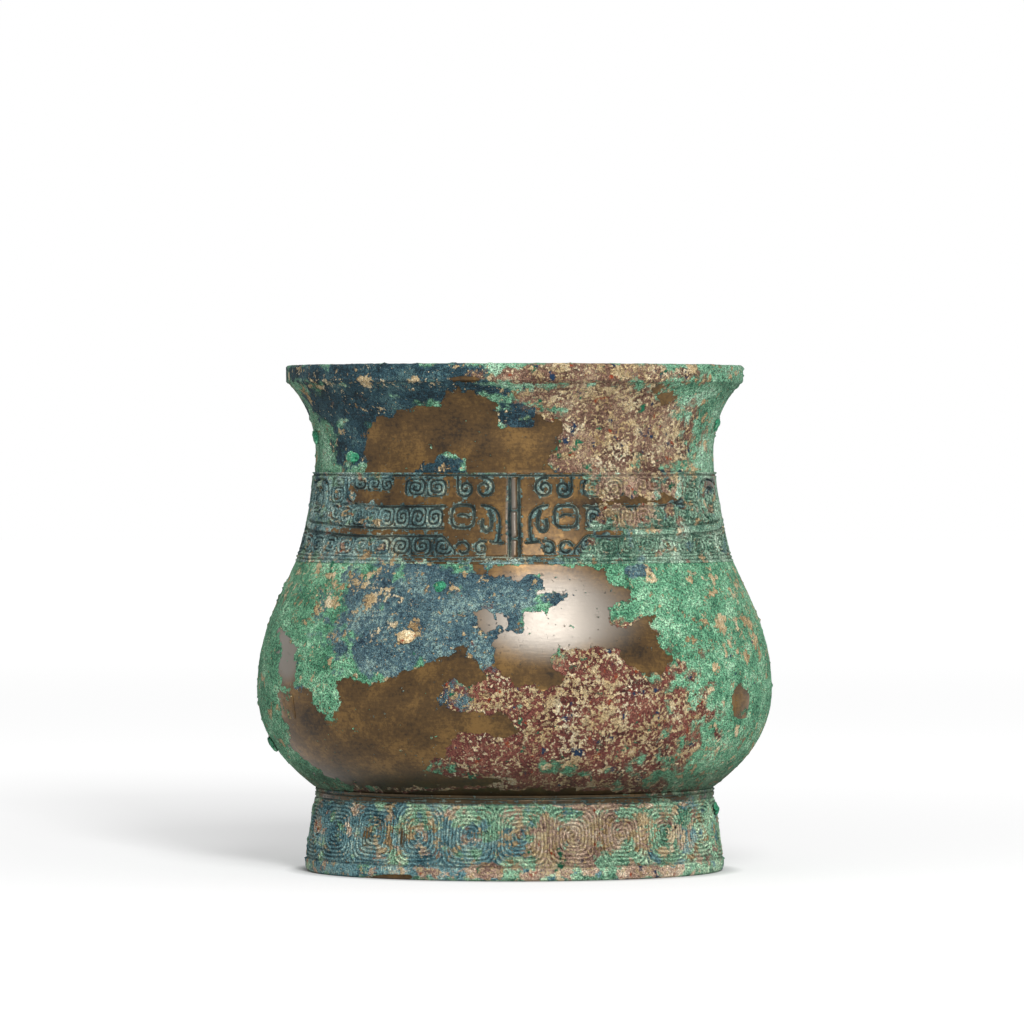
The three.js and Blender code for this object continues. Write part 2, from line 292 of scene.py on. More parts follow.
def cast_zone(name, before, outside, after, half_width, columns, step, strips, carving,
              patches, patches_back, seed, warts):
    """One zone of the casting as a closed mesh, with its carving and its crust.

    The zone's outline runs under it, up its outside and down its inside. A zone
    whose outline starts at the axis is closed there, at the middle of its floor.
    """
    angles, ways, length = oval_angles(half_width, columns)
    outer = even_steps(outside, step)
    hidden_before = [even_steps(part, hidden_step)[:-1] for part in before]
    hidden_after = [even_steps(part, hidden_step) for part in after]
    first = sum(len(part) for part in hidden_before)
    shown = slice(first, first + len(outer))
    path = np.concatenate([*hidden_before, outer, *hidden_after])
    along = directions(outer)

    points = on_oval(path[:, 0], path[:, 1], angles)
    skin = points[shown]
    wander = carving_stray * (lattice_noise(skin, 5.0, seed + 5) - 0.5)
    relief = carving(ways[None, :] + wander, skin[..., 2] + wander, length)
    fields = {"hollow": np.zeros(points.shape[:2]), "beside": np.zeros(points.shape[:2])}
    hollow = np.clip(-relief / groove_full, 0, 1)
    fields["hollow"][shown] = hollow
    near_hollow = sum(np.roll(hollow, shift, (0, 1)) for shift in near_shifts) / len(near_shifts)
    fields["beside"][shown] = near_hollow - 2 * np.clip(relief / thread_full, 0, 1)
    for number, (label, share) in enumerate(unseen_shares.items()):
        fields[label] = share * lattice_noise(points, unseen_patch_size, seed + 7 + number)
        fields[label][shown] = patch_field(skin, patches.get(label, []), patches_back.get(label, []))
    bare = fields["bare"][shown]
    heights = crust_heights(skin, bare, seed)
    add_warts(heights, skin, bare, warts, seed)
    edge_row = np.minimum(np.arange(len(outer)), np.arange(len(outer))[::-1])
    raised = relief + heights * smooth_step(edge_row, -1, 3)[:, None]
    points[shown] = on_oval(
        outer[:, :1] + along[:, 1:] * raised, outer[:, 1:] - along[:, :1] * raised, angles)
    rough = sum(height * (lattice_noise(points, size, seed + 3 + number) - 0.5)
                for number, (height, size) in enumerate(unseen_roughness))
    rough[shown] = 0
    points *= 1 + (rough / middling_half_width)[..., None] * np.array([1, 1, 0])

    index = np.arange(len(path) * columns).reshape(len(path), columns)
    lower, upper = index, np.roll(index, -1, axis=0)
    if before:
        mirrored = (columns // 2 - np.arange(columns)) % columns
        for row in (0, -1):
            index[row] = np.minimum(index[row], index[row][mirrored])
            points[row, :, 1] = 0
        lower, upper = index[:-1], index[1:]
    quads = np.stack([lower, np.roll(lower, -1, 1), np.roll(upper, -1, 1), upper], -1)
    used, corners = np.unique(quads, return_inverse=True)
    piece = quad_object(
        name, points.reshape(-1, 3)[used], corners.reshape(-1, 4), sharp_degrees=75,
        fields={label: field.reshape(-1)[used] for label, field in fields.items()})
    looped = np.concatenate([path, path[:1]])
    lengths = np.hypot(*np.diff(looped, axis=0).T) * hidden_map_share
    lengths[shown] /= hidden_map_share
    strip_map(piece.data, columns, lengths[:len(quads)], strips)
    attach(piece, "root")
    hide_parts("vessel_casting")
    return piece


def spiral_wave(q, z, bulge, pitch, sense):
    """A squarish spiral thread, from -1 to 1, and how far out in it each point lies."""
    square = (np.abs(q)**bulge + np.abs(z)**bulge)**(1 / bulge)
    turn = sense * np.arctan2(z, q) / (2 * np.pi)
    return np.cos(2 * np.pi * (square / pitch + turn)), square


def whorls(way, z, length):
    """The depth of the foot's whorls and lines, at ways round it and heights."""
    pitch = length / whorl_count
    number = np.round((way - whorl_shift) / pitch)
    q = (way - whorl_shift - number * pitch) * whorl_half_height / (pitch / 2)
    up = z - whorl_middle_z
    bulge = 2.2 + 2.6 * np.clip(np.hypot(q, up) / whorl_half_height, 0, 1)
    sense = np.where(number % 2 == 0, 1, -1)
    wave = smooth_step(spiral_wave(q, up, bulge, whorl_thread_pitch, sense)[0], -0.6, 0.75)
    field = smooth_step(whorl_half_height + whorl_border - np.abs(up), 0, 0.5)
    depth = field * whorl_depth * (wave - 1)
    for line_z, width in foot_lines:
        cut = smooth_step(width / 2 + 0.15 - np.abs(z - line_z), 0, 0.3)
        depth = np.minimum(depth, -foot_line_depth * cut)
    return depth


ring_foot = cast_zone(
    "ring_foot", [], foot_skin, [foot_inside], half_width=60.6, columns=1440, step=0.22, strips=3,
    carving=whorls, patches=foot_patches, patches_back=foot_patches_back, seed=11, warts=500)

# The finish of the foot, as of all the casting: worn bronze under a crust of
# green, blue and red copper minerals, with crumbs of tan burial earth, and a dark
# brown painted shade, partly soil, in the corner over the foot, which fades out
# between two heights on either side. Each zone has its own shades of a mineral,
# deep, middle and pale, as screen values, written a little darker because the
# crust is lit brightly.
foot_shades = {
    "green": ((74, 122, 98), (140, 182, 150), (200, 222, 188)),
    "blue": ((50, 88, 98), (106, 146, 150), (172, 196, 182)),
    "red": ((126, 98, 88), (188, 160, 138), (228, 212, 186)),
}
groove_fill = ((48, 72, 76), (110, 140, 136), (190, 198, 174))
# The near-black at the bottom of the deepest grooves is painted shade
groove_shade_colour = (28, 28, 24)
metal_dark, metal_brown = (42, 30, 15), (78, 57, 28)
# metal_rubbed_highlight is paler bronze laid over the lamp's highlight: partly rubbed wear, partly a painted
# highlight
metal_warm, metal_rubbed_highlight = (118, 89, 46), (116, 109, 100)
earth_shades = ((138, 110, 74), (196, 172, 130), (236, 222, 188))
grit_shades = ((176, 142, 94), (224, 200, 152), (250, 240, 208))
green_spot, blue_spot, orange_spot, dark_pit = (34, 112, 82), (30, 56, 84), (160, 74, 46), (34, 30, 26)
# Dark brown laid in the corner above the foot: a painted shade that also stands for soil there
corner_shade_and_soil = (42, 38, 24)
shade_and_soil_share = 0.62
shade_and_soil_on_belly_z = (36.0, 26.5)
shade_and_soil_on_foot_z = (21.6, 22.6)
crust_light = 1.12
crust_roughness = 0.88
relief_depth = 0.0012


def paint(colour, light=1.0):
    """Screen values from 0 to 255, seen under some light, as the shader's colour."""
    shares = [value / 255 for value in colour]
    return (*((s / 12.92 if s <= 0.04045 else ((s + 0.055) / 1.055)**2.4) / light for s in shares), 1)


def put(tree, kind, inputs=None, **settings):
    """Add a shader node, set it up, and set or link its inputs."""
    node = tree.nodes.new("ShaderNode" + kind)
    for label, value in settings.items():
        setattr(node, label, value)
    for label, value in (inputs or {}).items():
        if isinstance(value, bpy.types.NodeSocket):
            tree.links.new(value, node.inputs[label])
        else:
            node.inputs[label].default_value = value
    return node


def maths(tree, operation, *values):
    return put(tree, "Math", dict(enumerate(values)), operation=operation).outputs[0]


def between(tree, value, low, high, to_low=0.0, to_high=1.0):
    """A value's smooth run from one level to another."""
    inputs = {"Value": value, "From Min": low, "From Max": high, "To Min": to_low, "To Max": to_high}
    return put(tree, "MapRange", inputs, interpolation_type="SMOOTHSTEP").outputs[0]


def mixed(tree, share, under, over, blend_type="MIX"):
    """One colour laid over another by a share."""
    inputs = {0: share, 6: under, 7: over}
    return put(tree, "Mix", inputs, data_type="RGBA", blend_type=blend_type).outputs[2]


def place_mm(tree, seed, stretch=(1, 1, 1)):
    """The place on the piece in mm, moved by a seed."""
    scale = tuple(1000 * part for part in stretch)
    place = put(tree, "TexCoord").outputs["Object"]
    scaled = put(tree, "VectorMath", {0: place, 1: scale}, operation="MULTIPLY").outputs[0]
    return put(tree, "VectorMath", {0: scaled, 1: seed}, operation="ADD").outputs[0]


def noise(tree, place, size, detail, roughness):
    """Cloudy noise with features of a size in mm."""
    scale = maths(tree, "DIVIDE", 1.0, size)
    inputs = {"Vector": place, "Scale": scale, "Detail": detail, "Roughness": roughness}
    return put(tree, "TexNoise", inputs).outputs["Fac"]


def new_group(name, inputs, outputs):
    """A node group with named sockets: its tree, what comes in, and what goes out."""
    tree = bpy.data.node_groups.new(name, "ShaderNodeTree")
    for label, value in inputs.items():
        kind = "NodeSocketColor" if isinstance(value, tuple) else "NodeSocketFloat"
        tree.interface.new_socket(label, in_out="INPUT", socket_type=kind).default_value = value
    for label, kind in outputs.items():
        tree.interface.new_socket(label, in_out="OUTPUT", socket_type=kind)
    return tree, tree.nodes.new("NodeGroupInput").outputs, tree.nodes.new("NodeGroupOutput").inputs


def use(tree, group, **inputs):
    """Place a node group in a material, with its own values."""
    labelled = {label.capitalize(): value for label, value in inputs.items()}
    return put(tree, "Group", labelled, node_tree=group).outputs


def give_out(tree, result, **values):
    """Join a group's values to what goes out of it."""
    for label, value in values.items():
        tree.links.new(value, result[label.capitalize()])


# A ragged patch: a smooth field cut off at a half, with an edge that crumbles
tree, given, result = new_group(
    "ragged_patch", {"Field": 0.0, "Ragged": 0.5, "Grain": 5.0, "Edge": 0.04, "Seed": 0.0},
    {"Mask": "NodeSocketFloat"})
coarse = noise(tree, place_mm(tree, given["Seed"]), given["Grain"], 5.0, 0.62)
lifted = maths(tree, "MULTIPLY_ADD", maths(tree, "SUBTRACT", coarse, 0.5), given["Ragged"], given["Field"])
low_edge = maths(tree, "SUBTRACT", 0.5, given["Edge"])
high_edge = maths(tree, "ADD", 0.5, given["Edge"])
give_out(tree, result, mask=between(tree, lifted, low_edge, high_edge))
ragged_patch = tree

# A mineral crust: three shades of one mineral, clouded and grainy
black, white = (0, 0, 0, 1), (1, 1, 1, 1)
tree, given, result = new_group(
    "mineral_crust", {"Deep": black, "Middle": black, "Pale": white, "Grain": 1.0, "Seed": 0.0},
    {"Colour": "NodeSocketColor", "Height": "NodeSocketFloat"})
place = place_mm(tree, given["Seed"])
clouds = noise(tree, place, 9.0, 4.0, 0.6)
grains = noise(tree, place, given["Grain"], 4.0, 0.7)
dust = noise(tree, place, maths(tree, "MULTIPLY", given["Grain"], 0.3), 2.0, 0.7)
level = maths(tree, "MULTIPLY_ADD", grains, 0.5, maths(tree, "MULTIPLY", clouds, 0.5))
shade = mixed(tree, between(tree, level, 0.4, 0.5), given["Deep"], given["Middle"])
shade = mixed(tree, between(tree, level, 0.51, 0.6), shade, given["Pale"])
speckle = between(tree, dust, 0.36, 0.64, 0.26, 1.95)
grey = put(tree, "CombineColor", {"Red": speckle, "Green": speckle, "Blue": speckle})
shade = mixed(tree, 1.0, shade, grey.outputs["Color"], "MULTIPLY")
give_out(tree, result, colour=shade, height=maths(tree, "ADD", grains, dust))
mineral_crust = tree

# Worn metal: brown bronze with clouds of tarnish and fine marks from wiping
tree, given, result = new_group(
    "worn_metal", {"Dark": black, "Middle": black, "Warm": black, "Seed": 0.0},
    {"Colour": "NodeSocketColor", "Roughness": "NodeSocketFloat", "Height": "NodeSocketFloat"})
place = place_mm(tree, given["Seed"])
clouds = noise(tree, place, 13.0, 5.0, 0.6)
streaks = noise(tree, place_mm(tree, given["Seed"], (0.25, 0.25, 1.6)), 1.0, 4.0, 0.6)
spots = noise(tree, place, 1.1, 4.0, 0.75)
tone = maths(tree, "MULTIPLY_ADD", spots, 0.34, maths(tree, "MULTIPLY", clouds, 0.54))
tone = maths(tree, "MULTIPLY_ADD", streaks, 0.12, tone)
shade = mixed(tree, between(tree, tone, 0.37, 0.49), given["Dark"], given["Middle"])
shade = mixed(tree, between(tree, tone, 0.48, 0.62), shade, given["Warm"])
shade = mixed(tree, between(tree, spots, 0.62, 0.7, 0, 0.5), shade, given["Dark"])
give_out(tree, result, colour=shade, roughness=between(tree, tone, 0.3, 0.7, 0.4, 0.28), height=streaks)
worn_metal = tree


def empty_nodes(kinds, name):
    """A new material or world with nothing in its node tree, and that tree."""
    made = kinds.new(name)
    made.use_nodes = True
    made.node_tree.nodes.clear()
    return made, made.node_tree


def crumbs(tree, colour, height, field, grain, seed, crumb_colour, lift):
    """Lay crumbs of one colour over a crust; gives the new colour and height."""
    laid = use(tree, ragged_patch, field=field, ragged=2.2, grain=grain, edge=0.05, seed=seed)[0]
    colour = mixed(tree, laid, colour, crumb_colour)
    return colour, maths(tree, "MULTIPLY_ADD", laid, lift, height)


def crust(tree, shades, grain, seed):
    """One mineral's crust in its three shades."""
    deep, middle, pale = (paint(shade, crust_light) for shade in shades)
    return use(tree, mineral_crust, deep=deep, middle=middle, pale=pale, grain=grain, seed=seed)


def weathered_bronze(name, shades, mingled, patch_grain):
    """The finish of one zone: crusts in its own shades, crumbs, and bare metal.

    The more mingled the crusts are, the more their patches break up, into
    smaller patches of about the grain in mm.
    """
    material, tree = empty_nodes(bpy.data.materials, name)
    field = {label: put(tree, "Attribute", attribute_name=label).outputs["Fac"]
             for label in ("bare", "rubbed_highlight", "azurite", "cuprite", "earth", "hollow", "beside")}
    mingling = {"ragged": mingled, "grain": patch_grain, "edge": 0.14}
    azurite = use(tree, ragged_patch, field=field["azurite"], seed=7.0, **mingling)[0]
    cuprite = use(tree, ragged_patch, field=field["cuprite"], seed=31.0, **mingling)[0]
    green, blue, red = (
        crust(tree, shades[label], grain, seed)
        for label, grain, seed in (("green", 1.3, 2.0), ("blue", 1.0, 5.0), ("red", 0.9, 8.0)))
    colour = mixed(tree, azurite, green["Colour"], blue["Colour"])
    colour = mixed(tree, cuprite, colour, red["Colour"])
    height = maths(tree, "MULTIPLY", maths(tree, "ADD", green["Height"], red["Height"]), 0.5)

    clumps = noise(tree, place_mm(tree, (3.0, 3.0, 3.0)), 7.0, 4.0, 0.6)
    earthy = maths(tree, "MULTIPLY", field["earth"], between(tree, clumps, 0.36, 0.62))
    grit = crust(tree, grit_shades, 0.3, 61.0)["Colour"]
    clod = crust(tree, earth_shades, 0.5, 60.0)["Colour"]
    big = maths(tree, "MULTIPLY_ADD", earthy, 0.18, maths(tree, "MULTIPLY_ADD", cuprite, -0.06, 0.24))
    small = maths(tree, "MULTIPLY_ADD", earthy, 0.16, maths(tree, "MULTIPLY_ADD", cuprite, 0.16, 0.13))
    few = maths(tree, "MULTIPLY_ADD", cuprite, 0.14, 0.04)
    orange, green_bit, blue_bit, pit = (
        paint(spot, crust_light) for spot in (orange_spot, green_spot, blue_spot, dark_pit))
    layers = [
        (big, 4.4, 20.0, clod, 0.6), (small, 1.9, 26.0, clod, 0.4), (few, 3.0, 12.0, orange, 0.1),
        (few, 4.2, 14.0, green_bit, 0.3), (few, 4.4, 57.0, blue_bit, 0.2), (small, 1.0, 23.0, grit, 0.5),
        (0.08, 1.8, 29.0, pit, -0.6),
    ]
    for amount, grain, seed, crumb_colour, lift in layers:
        colour, height = crumbs(tree, colour, height, amount, grain, seed, crumb_colour, lift)
    # Crusts turn darker in the hollows: a painted shade in the recesses
    groove_shade = between(tree, field["hollow"], 0.15, 0.8)
    colour = mixed(tree, maths(tree, "MULTIPLY", groove_shade, 0.5), colour, (0.1, 0.1, 0.1, 1), "MULTIPLY")

    metal = use(tree, worn_metal, dark=paint(metal_dark), middle=paint(metal_brown), warm=paint(metal_warm),
                seed=4.0)
    # Paler rubbed metal where the lamp's highlight falls: partly wear, partly a painted highlight
    rubbed_highlight = between(tree, field["rubbed_highlight"], 0.1, 0.9)
    bronze = mixed(tree, rubbed_highlight, metal["Colour"], paint(metal_rubbed_highlight))
    fill = crust(tree, groove_fill, 0.5, 6.0)["Colour"]
    # The deepest part of a groove's fill turns near-black: a painted shade
    groove_bottom_shade = between(tree, field["hollow"], 0.55, 0.98, 0.0, 0.85)
    fill = mixed(tree, groove_bottom_shade, fill, paint(groove_shade_colour))
    bare = use(tree, ragged_patch, field=field["bare"], ragged=2.2, grain=5.0, edge=0.02, seed=40.0)[0]
    flecks = use(tree, ragged_patch, field=0.08, ragged=2.2, grain=1.8, edge=0.04, seed=47.0)[0]
    bare = maths(tree, "MULTIPLY", bare, maths(tree, "SUBTRACT", 1.0, flecks))
    caught = maths(tree, "MULTIPLY_ADD", field["beside"], 0.9, 0.1)
    filled = use(tree, ragged_patch, field=caught, ragged=2.0, grain=1.6, edge=0.06, seed=43.0)[0]
    filled = maths(tree, "MAXIMUM", filled, between(tree, field["hollow"], 0.4, 0.7))
    colour = mixed(tree, bare, colour, mixed(tree, filled, bronze, fill))
    # Darken the corner over the foot between two heights: painted shade, partly soil
    up = put(tree, "SeparateXYZ", {"Vector": place_mm(tree, (0.0, 0.0, 0.0))}).outputs["Z"]
    shaded_and_soiled = maths(tree, "MULTIPLY", between(tree, up, *shade_and_soil_on_belly_z), between(tree, up, *shade_and_soil_on_foot_z))
    colour = mixed(tree, maths(tree, "MULTIPLY", shaded_and_soiled, shade_and_soil_share), colour, paint(corner_shade_and_soil))
    shiny = maths(tree, "MULTIPLY", bare, maths(tree, "SUBTRACT", 1.0, filled))
    smoother = maths(tree, "SUBTRACT", metal["Roughness"], crust_roughness)
    roughness = maths(tree, "MULTIPLY_ADD", smoother, shiny, crust_roughness)
    height = maths(tree, "MULTIPLY", height, maths(tree, "SUBTRACT", 1.0, shiny))
    height = maths(tree, "MULTIPLY_ADD", metal["Height"], 0.03, height)
    bump = put(tree, "Bump", {"Height": height, "Strength": 0.9, "Distance": relief_depth})
    shader = put(tree, "BsdfPrincipled", {
        "Base Color": colour,
        "Roughness": roughness,
        "Metallic": maths(tree, "MULTIPLY", shiny, 0.75),
        "Coat Weight": maths(tree, "MULTIPLY", shiny, 0.3),
        "Coat Roughness": 0.3,
        "Specular IOR Level": 0.35,
        "Normal": bump.outputs["Normal"],
    })
    put(tree, "OutputMaterial", {"Surface": shader.outputs["BSDF"]})
    return material


ring_foot.data.materials.append(weathered_bronze("foot_bronze", foot_shades, 5.0, 6.0))

# The belly. The same pour of metal swells out over the foot to its widest low
# down, draws in to the shoulder, and holds the floor of the cup inside it.
belly_z = 54.0
shoulder_z = 92.0
shoulder_half_width = 65.0
floor_top_z = 21.5
floor_under_z = 18.0
lit_island = [
    (476, 567), (518, 563), (603, 567), (610, 581), (639, 599), (614, 606), (610, 627), (624, 627),
    (649, 613), (656, 641), (674, 659), (670, 669), (642, 675), (632, 662), (617, 653), (586, 648),
    (561, 645), (550, 659), (564, 677), (557, 684), (533, 687), (511, 682), (494, 662), (494, 645),
    (501, 631), (494, 613), (508, 616), (511, 629), (522, 631), (526, 615), (536, 613), (554, 608),
    (575, 595), (568, 590), (540, 594), (547, 586), (538, 576), (518, 578), (494, 579), (476, 574),
]
brown_island = [
    (337, 684), (349, 678), (370, 682), (398, 680), (405, 669), (434, 662), (451, 655), (462, 648),
    (476, 659), (487, 680), (473, 685), (455, 682), (441, 691), (434, 705), (448, 712), (469, 715),
    (497, 712), (511, 715), (522, 733), (497, 737), (476, 730), (455, 740), (441, 758), (420, 768),
    (448, 779), (427, 790), (356, 786), (314, 772), (289, 744), (285, 719), (278, 694), (292, 687),
    (310, 694), (321, 712), (328, 724), (338, 715), (335, 701),
]
belly_patches = {
    "bare": [lit_island, brown_island, [(471, 611), (490, 609), (497, 627), (487, 632), (476, 624)],
             [(280, 631), (291, 634), (298, 652), (296, 676), (290, 691), (282, 688), (279, 660)],
             (741, 700, 9, 15), (606, 596, 26, 9), (420, 783, 70, 6), (505, 799, 190, 9)],
    # Rubbed: paler metal over the belly's highlight and a bright strip at its left, painted highlight and
    # reflection as much as wear
    "rubbed_highlight": [(550, 616, 78, 40), (287, 655, 12, 26)],
    "azurite": [(434, 616, 98, 60), (386, 650, 52, 26), (505, 586, 72, 14), (562, 598, 26, 9),
                (470, 640, 44, 30), (300, 700, 12, 12), (640, 570, 14, 8), (450, 702, 22, 16),
                (414, 744, 18, 12)],
    "cuprite": [(590, 716, 112, 68), (500, 740, 66, 50), (615, 655, 56, 34), (520, 690, 60, 24),
                (510, 792, 140, 28)],
    "earth": [(405, 637, 26, 13), (600, 700, 110, 60), (480, 690, 40, 30), (350, 585, 60, 30),
              (740, 620, 34, 60), (330, 570, 70, 10), (520, 790, 200, 10), (720, 760, 40, 30)],
}
belly_patches_back = {
    "bare": [(430, 640, 70, 40), (600, 740, 80, 34), (480, 745, 46, 20), (330, 610, 20, 30)],
    "azurite": [(600, 620, 100, 56), (380, 720, 60, 44), (470, 580, 60, 24)],
    "cuprite": [(450, 700, 90, 56), (520, 600, 60, 30)],
    "earth": [(460, 700, 90, 50), (640, 660, 60, 60), (340, 600, 40, 30)],
}

belly_shades = {
    "green": ((58, 112, 84), (104, 162, 126), (160, 204, 168)),
    "blue": ((42, 64, 76), (76, 104, 112), (132, 158, 152)),
    "red": ((72, 38, 33), (112, 62, 54), (150, 100, 82)),
}


def bend(start, end, leave, arrive):
    """A cubic curve; leave and arrive are shares of its way out and of its way up."""
    share = np.linspace(0, 1, 90)[:, None]
    first, last = np.array(start, float), np.array(end, float)
    pull_out = first + np.array(leave) * (last - first)
    pull_in = first + np.array(arrive) * (last - first)
    rest = 1 - share
    return (rest**3 * first + 3 * rest**2 * share * pull_out
            + 3 * rest * share**2 * pull_in + share**3 * last)


def moved_in(path, distance):
    """A path that runs up, moved along its normal to the inside of the cup."""
    along = directions(path)
    return path + distance * np.stack([-along[:, 1], along[:, 0]], 1)


def plain(way, z, length):
    return np.zeros(np.broadcast(way, z).shape)


lower_belly = bend((waist_half_width, foot_top_z), (belly_half_width, belly_z), (0.63, 0.27), (1, 0.6))
upper_belly = bend((belly_half_width, belly_z), (shoulder_half_width, shoulder_z), (0, 0.42), (0.53, 0.68))
belly_skin = np.concatenate([lower_belly, upper_belly[1:]])
belly_inside = moved_in(belly_skin, wall)
bowl_edge = belly_inside[0]
belly_inside = belly_inside[belly_inside[:, 1] < shoulder_z]
floor_top = bend(bowl_edge, (oval_stretch, floor_top_z), (0.2, 0.75), (0.5, 1))
floor_under = bend((oval_stretch, floor_under_z), foot_inside[0], (0.5, 0), (0.85, 0.3))
belly_under = np.concatenate([floor_under, belly_skin[:1]])
belly = cast_zone(
    "belly", [belly_under], belly_skin, [belly_inside[::-1], floor_top[1:]],
    half_width=70.0, columns=960, step=0.45, strips=2, carving=plain,
    patches=belly_patches, patches_back=belly_patches_back, seed=23, warts=900)
belly.data.materials.append(weathered_bronze("belly_bronze", belly_shades, 2.4, 6.0))

# The band of dragons, cast with the wall under the neck. Their bodies are smooth
# and flat, cut through by grooves, on sunk ground that is filled with spirals of
# thread; two of them face each flange. One half is drawn here and turned round.
band_top_z = 118.3
neck_z = 124.0
neck_half_width = 59.1
band_proud_foot = 0.2
band_proud_top = 0.8
sheet_step = 0.1
sheet_margin = 2
groove_soft = 0.13
groove_depth = 0.62
ground_depth = 0.58
thread_pitch = 1.15
band_half_width = 61.1
side_way = oval_angles(band_half_width, 4)[2] / 4
band_patches = {
    "bare": [[(352, 486), (372, 480), (400, 472), (584, 472), (588, 498), (640, 497), (683, 499), (682, 505),
              (600, 507), (590, 529), (626, 531), (624, 537), (588, 538), (580, 560), (400, 562), (380, 540),
              (330, 538), (330, 528), (384, 526), (380, 506), (356, 504)],
             [(703, 480), (714, 481), (713, 495), (704, 495)]],
    # Rubbed: paler metal on the flange rib, a painted highlight as much as wear
    "rubbed_highlight": [(511, 515, 5, 46)],
    "azurite": [(400, 515, 100, 48), (330, 540, 40, 20), (515, 566, 60, 8)],
    "cuprite": [(628, 494, 46, 32)],
    "earth": [(624, 494, 50, 30), (420, 545, 50, 14), (560, 545, 30, 10)],
}
band_patches_back = {
    "bare": [(500, 515, 150, 46), (640, 502, 50, 8)],
    "azurite": [(600, 520, 80, 46)],
    "cuprite": [(380, 515, 60, 46)],
    "earth": [(400, 515, 70, 46)],
}
band_shades = {
    "green": ((66, 106, 88), (130, 164, 140), (192, 216, 192)),
    "blue": ((52, 82, 88), (112, 144, 142), (176, 198, 186)),
    "red": ((106, 78, 68), (168, 138, 118), (214, 196, 168)),
}
sheet_q, sheet_z = np.meshgrid(
    np.arange(-sheet_margin, side_way + sheet_margin, sheet_step),
    np.arange(shoulder_z, band_top_z + 0.2, sheet_step))
sheet_groove = np.zeros(sheet_q.shape)


def smooth_path(points, step=0.35):
    """A rounded path that passes through each of the points."""
    knots = np.array([points[0], *points, points[-1]], float)
    runs = []
    for before, start, end, after in zip(knots, knots[1:], knots[2:], knots[3:]):
        count = max(2, int(np.hypot(*(end - start)) / step))
        t = np.linspace(0, 1, count, endpoint=False)[:, None]
        runs.append(0.5 * (2 * start + (end - before) * t
                           + (2 * before - 5 * start + 4 * end - after) * t**2
                           + (3 * start - before - 3 * end + after) * t**3))
    return np.concatenate([*runs, [knots[-1]]])


def spiral_path(centre, reach, start, turns, inner, flat=1.0):
    """A spiral that winds in from its outer turn; start is in degrees."""
    share = np.linspace(0, 1, max(12, int(abs(turns) * 26)))
    angle = np.radians(start) + share * turns * 2 * np.pi
    radius = reach * (1 - (1 - inner) * share)
    return np.stack([centre[0] + radius * np.cos(angle),
                     centre[1] + radius * flat * np.sin(angle)], 1)


def carve(path, width, depth=groove_depth):
    """Cut a groove along a path into the sheet of depths."""
    for start, end in zip(path, path[1:]):
        low = np.minimum(start, end) - width - 0.6
        high = np.maximum(start, end) + width + 0.6
        first, last = (
            np.maximum(0, ((spot - (-sheet_margin, shoulder_z)) / sheet_step).astype(int))
            for spot in (low, high))
        window = (slice(first[1], last[1] + 1), slice(first[0], last[0] + 1))
        away = away_from(sheet_q[window], sheet_z[window], start, end)
        cut = depth * smooth_step(width / 2 + groove_soft - away, 0, 2 * groove_soft)
        sheet_groove[window] = np.maximum(sheet_groove[window], cut)


def rounded_box(centre, half_q, half_z, bulge):
    """A closed path round a box with well rounded corners."""
    angle = np.linspace(0, 2 * np.pi, 41)
    c, s = np.cos(angle), np.sin(angle)
    reach = (np.abs(c)**bulge + np.abs(s)**bulge)**(-1 / bulge)
    return np.stack([centre[0] + half_q * reach * c, centre[1] + half_z * reach * s], 1)


def inside_shape(corners):
    """Which points of the sheet lie inside an outline, softened at its edge."""
    soft = is_inside(sheet_q, sheet_z, corners).astype(float)
    for axis in (0, 1, 0, 1):
        soft = (soft + np.roll(soft, 1, axis) + np.roll(soft, -1, axis)) / 3
    return soft


# Grooves through points, each after its width: the head's horn, the slot of its
# eye, the open mouth, lip and claws, then the body, and the tail, which turns up
# at the vessel's side into a long scroll
for width, *points in [
    (0.8, (17.0, 117.0), (17.0, 114.6), (16.6, 112.4)),
    (0.75, (13.3, 105.7), (14.2, 106.3), (15.6, 106.4), (16.4, 106.1)),
    (0.75, (9.6, 108.9), (7.2, 108.5), (5.0, 106.8), (4.3, 104), (4.4, 100.2), (4.8, 98.4)),
    (1.15, (7.3, 107.2), (6.7, 105.2), (6.8, 102.6), (8.2, 101.5), (9.3, 102.8), (9.2, 104.8)),
    (0.7, (3.2, 98.2), (5, 98.3), (6.8, 98.7)),
    (0.6, (21.4, 100.0), (20.2, 99.7), (18.2, 97.6), (16.9, 96.2), (16.8, 95.0)),
    (0.75, (20.4, 108.7), (38, 108.5), (48, 108.9), (53, 110.2), (54.6, 112.5), (54.6, 116.9)),
    (0.7, (20.6, 102.3), (45, 102.4), (60, 103.2), (73, 104.0), (75.6, 105.2), (76.4, 108)),
    (0.8, (21, 100.1), (45, 100.0), (68, 100.9), (78, 102.2), (80.6, 104.5), (81, 110), (81, 116.9)),
    (0.8, (76.4, 108), (76.4, 112.6), (75.0, 114.9), (72.6, 115.9), (68, 116.3), (64.6, 115.2),
     (63.2, 112.4), (63.0, 108.4), (64.2, 105.9), (66.6, 104.9)),
    (0.7, (73.2, 106.3), (74.2, 108.8), (74.0, 111.8), (72.2, 113.6), (68.8, 113.8), (66.6, 112.4),
     (66.2, 109.2), (67.2, 107.2), (69.4, 106.6)),
]:
    carve(smooth_path(points), width)

